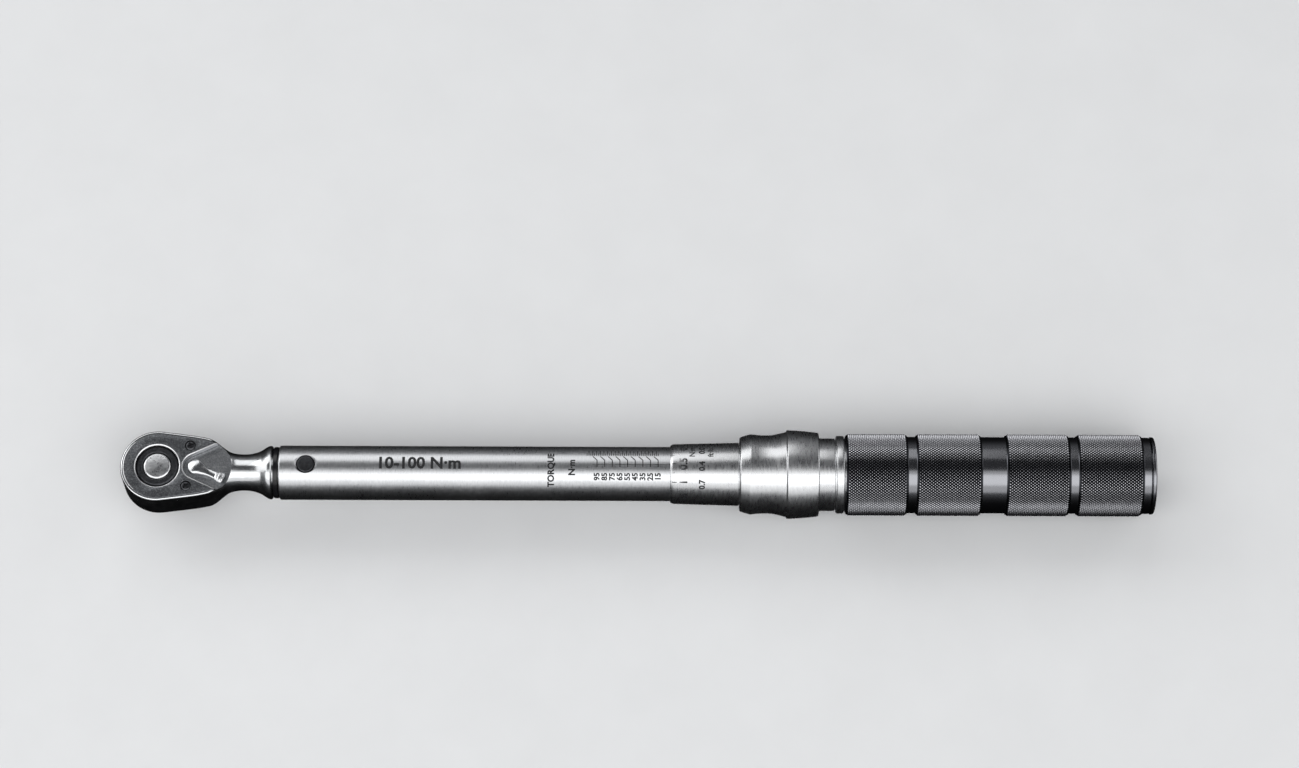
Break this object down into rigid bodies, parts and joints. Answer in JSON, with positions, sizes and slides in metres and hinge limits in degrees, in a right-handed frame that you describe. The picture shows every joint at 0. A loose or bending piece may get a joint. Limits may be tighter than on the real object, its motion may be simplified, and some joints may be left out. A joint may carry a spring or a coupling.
{
  "type": "torque wrench",
  "caption": "Click torque wrench with a round reversible ratchet head, a chrome tube, a micrometer thimble, a pull-back lock ring and a knurled grip.",
  "frame": {"origin": "centre of the square drive's end face", "axes": "+X along the tube from the drive to the handle's end, +Z towards the reversing lever, drive pointing to -Z"},
  "size_m": [0.3829, 0.0332, 0.0351],
  "materials": {
    "polished_chrome": "polished chrome plate on forged steel",
    "satin_chrome": "satin chrome plate on turned steel",
    "satin_plate": "dark satin nickel on a flat ground plate",
    "black_oxide": "black oxide on hardened steel",
    "spring_steel": "oiled spring steel",
    "bright_steel": "ground bearing steel",
    "black_aluminium": "black anodised, diamond knurled between smooth grooves",
    "bronze": "turned bearing bronze",
    "rubber": "moulded nitrile rubber"
  },
  "bodies": {
    "tube": {"tube": "satin_chrome", "pivot_pin": "black_oxide", "dust_seal": "rubber", "adjuster_nut": "bronze", "nut_pin_1": "spring_steel", "nut_pin_2": "spring_steel", "main_spring": "spring_steel"},
    "head": {"head_body": "polished_chrome", "cover_plate": "satin_plate", "cover_screw_1": "black_oxide", "cover_screw_2": "black_oxide", "pawl_ball": "bright_steel", "pawl_spring": "spring_steel"},
    "drive": {"drive_gear": "black_oxide", "button_spring": "spring_steel"},
    "button": {"release_button": "polished_chrome"},
    "drive_ball": {"detent_ball": "bright_steel"},
    "lever": {"reversing_lever": "polished_chrome"},
    "rocking_pawl": {"pawl": "spring_steel"},
    "click_block": {"tilt_block": "bright_steel"},
    "click_plunger": {"plunger": "spring_steel"},
    "spring_carrier": {"spring_seat": "bright_steel", "thrust_ball": "bright_steel"},
    "handle": {"thimble": "satin_chrome", "lock_sleeve": "satin_chrome", "grip": "black_aluminium", "end_cap": "black_aluminium", "end_screw": "bright_steel", "adjusting_screw": "bright_steel", "lock_spring": "spring_steel"},
    "ring": {"lock_ring": "satin_chrome"},
    "ring_ball_1": {"lock_ball_1": "bright_steel"},
    "ring_ball_2": {"lock_ball_2": "bright_steel"}
  },
  "joints": [
    {"name": "head_click", "type": "hinge", "parent": "tube", "child": "head", "pos_m": [0.0551, 0, 0.0186], "axis": [0, 0, 1], "range_deg": [-2, 2], "stiffness_Nm_per_rad": 20},
    {"name": "drive_spin", "type": "hinge", "parent": "head", "child": "drive", "pos_m": [0, 0, 0.0186], "axis": [0, 0, 1], "continuous": true},
    {"name": "button_press", "type": "slide", "parent": "drive", "child": "button", "axis": [0, 0, -1], "range_m": [0, 0.0025], "stiffness_N_per_m": 800, "springref_m": -0.002, "deforming": ["button_spring"]},
    {"name": "drive_ball_retract", "type": "slide", "parent": "drive", "child": "drive_ball", "axis": [0, 1, 0], "range_m": [0, 0.00091]},
    {"name": "lever_flip", "type": "hinge", "parent": "head", "child": "lever", "pos_m": [0.0143, 0, 0.0186], "axis": [0, 0, 1], "range_deg": [0, 48]},
    {"name": "pawl_rock", "type": "hinge", "parent": "head", "child": "rocking_pawl", "pos_m": [0.0143, 0, 0.0186], "axis": [0, 0, 1], "range_deg": [0, 12.01]},
    {"name": "block_tilt", "type": "hinge", "parent": "tube", "child": "click_block", "pos_m": [0.1026, 0, 0.0186], "axis": [0, 0, 1], "range_deg": [-11.7, 11.7]},
    {"name": "plunger_slide", "type": "slide", "parent": "tube", "child": "click_plunger", "axis": [1, 0, 0], "range_m": [0, 0.0003], "stiffness_N_per_m": 4000, "springref_m": -0.0003},
    {"name": "setting_advance", "type": "slide", "parent": "tube", "child": "spring_carrier", "axis": [-1, 0, 0], "range_m": [0, 0.02825], "deforming": ["main_spring"]},
    {"name": "grip_turn", "type": "hinge", "parent": "spring_carrier", "child": "handle", "pos_m": [0.2463, 0, 0.0186], "axis": [-1, 0, 0], "range_deg": [0, 7200]},
    {"name": "lock_slide", "type": "slide", "parent": "handle", "child": "ring", "axis": [1, 0, 0], "range_m": [0, 0.005], "stiffness_N_per_m": 600, "springref_m": -0.004, "deforming": ["lock_spring"]},
    {"name": "lock_ball_1_lift", "type": "slide", "parent": "handle", "child": "ring_ball_1", "axis": [0, 1, 0], "range_m": [0, 0.00091]},
    {"name": "lock_ball_2_lift", "type": "slide", "parent": "handle", "child": "ring_ball_2", "axis": [0, -1, 0], "range_m": [0, 0.00091]}
  ],
  "couplings": [
    {"joint": "drive_ball_retract", "follows": "button_press", "ratio": 0.36},
    {"joint": "pawl_rock", "follows": "lever_flip", "ratio": 0.25},
    {"joint": "block_tilt", "follows": "head_click", "ratio": -5.8},
    {"joint": "setting_advance", "follows": "grip_turn", "m_per_rad": 0.00022458},
    {"joint": "lock_ball_1_lift", "follows": "lock_slide", "ratio": 0.18},
    {"joint": "lock_ball_2_lift", "follows": "lock_slide", "ratio": 0.18}
  ]
}
